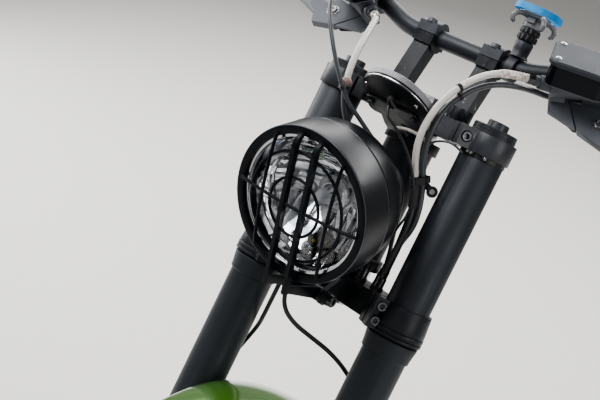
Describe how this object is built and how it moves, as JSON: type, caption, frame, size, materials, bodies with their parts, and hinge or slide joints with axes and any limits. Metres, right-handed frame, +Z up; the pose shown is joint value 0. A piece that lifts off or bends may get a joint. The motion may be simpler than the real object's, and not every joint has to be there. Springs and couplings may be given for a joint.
{
  "type": "motorcycle front end",
  "caption": "Motorcycle front end: raked upside-down fork in wide yokes, round headlamp behind a wire and strap guard, swept handlebar on risers, spoked cast wheel with twin discs.",
  "frame": {"origin": "middle of the steering head, on the steering axis", "axes": "+X to the rider's left, -Y forward, +Z up; the steering axis leans back 24.5 degrees from +Z towards +Y"},
  "size_m": [0.7838, 0.7903, 1.0791],
  "materials": {
    "black_bar": "gloss black",
    "black_cast": "satin black over cast aluminium",
    "black_hose": "smooth black",
    "black_plastic": "fine grain",
    "black_tube": "satin black coating",
    "braided_hose": "steel braid under clear sleeve",
    "chrome": "polished",
    "disc_steel": "ground and heat darkened",
    "green": "green gloss",
    "grip_rubber": "ribbed",
    "lamp_black": "satin black",
    "lens": "clear",
    "lever_alloy": "black anodised",
    "reflector": "aluminised facets",
    "steel": "turned steel",
    "tyre_rubber": "treaded"
  },
  "bodies": {
    "headstock": {"steering_head": "black_cast"},
    "steering": {"bar_riser_left": "black_cast", "bar_riser_right": "black_cast", "brake_hose": "braided_hose", "brake_line_left": "black_hose", "brake_line_right": "black_hose", "brake_splitter": "black_cast", "caliper_left": "black_cast", "caliper_right": "black_cast", "clutch_hose": "braided_hose", "fork_cap_left": "black_cast", "fork_cap_right": "black_cast", "fork_foot_left": "black_cast", "fork_foot_right": "black_cast", "fork_tube_left": "black_tube", "fork_tube_right": "black_tube", "gauge": "black_plastic", "gauge_bracket": "black_cast", "gauge_cable": "black_hose", "grip_left": "grip_rubber", "grip_right": "grip_rubber", "handlebar": "black_bar", "lamp_bracket": "black_cast", "lever_left": "lever_alloy", "lever_right": "lever_alloy", "lower_yoke": "black_cast", "master_cylinder_left": "black_cast", "master_cylinder_right": "black_cast", "mudguard": "green", "near_loom": "black_hose", "phone_mount": "black_plastic", "stanchion_left": "chrome", "stanchion_right": "chrome", "steering_stem": "steel", "switch_housing_left": "black_plastic", "switch_housing_right": "black_plastic", "throttle_cable": "black_hose", "upper_yoke": "black_cast", "wheel_axle": "steel", "yoke_unions": "steel"},
    "headlamp": {"lamp_bucket": "lamp_black", "lamp_guard": "lamp_black", "lamp_lens": "lens", "lamp_reflector": "reflector", "lamp_trim": "chrome"},
    "front_wheel": {"brake_disc_left": "disc_steel", "brake_disc_right": "disc_steel", "tyre": "tyre_rubber", "wheel_rim": "black_cast"}
  },
  "joints": [
    {"name": "steering_turn", "type": "hinge", "parent": "headstock", "child": "steering", "pos_m": [0, 0, 0], "axis": [0, 0.4147, 0.91], "range_deg": [-30, 30]},
    {"name": "headlamp_tilt", "type": "hinge", "parent": "steering", "child": "headlamp", "pos_m": [0, -0.12, -0.084], "axis": [1, 0, 0], "range_deg": [-8, 8]},
    {"name": "wheel_spin", "type": "hinge", "parent": "steering", "child": "front_wheel", "pos_m": [0, -0.26807, -0.52072], "axis": [1, 0, 0], "continuous": true}
  ]
}
